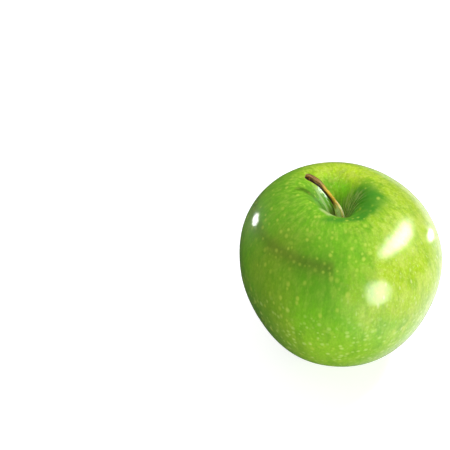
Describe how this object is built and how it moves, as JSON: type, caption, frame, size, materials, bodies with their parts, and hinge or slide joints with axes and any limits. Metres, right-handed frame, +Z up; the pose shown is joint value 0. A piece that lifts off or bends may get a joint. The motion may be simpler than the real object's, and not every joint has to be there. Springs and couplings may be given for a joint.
{
  "type": "green apple",
  "caption": "Round green apple with a bent woody stem in a deep cavity and a dried calyx underneath; a fresh fruit that stands upright on the knobs of its base.",
  "frame": {"origin": "on the resting surface, under the middle of the fruit", "axes": "+Z up through the stem cavity, -Y towards the side that faces the viewer, the stem bends to -X"},
  "size_m": [0.0773, 0.0787, 0.0758],
  "materials": {
    "apple_skin": "waxy gloss skin, green with pale dots",
    "stem_wood": "dry ridged bark, ochre to dark brown",
    "calyx_dry": "dry papery grey-brown"
  },
  "bodies": {
    "root": {"fruit": "apple_skin", "stem": "stem_wood", "calyx": "calyx_dry"}
  },
  "joints": []
}
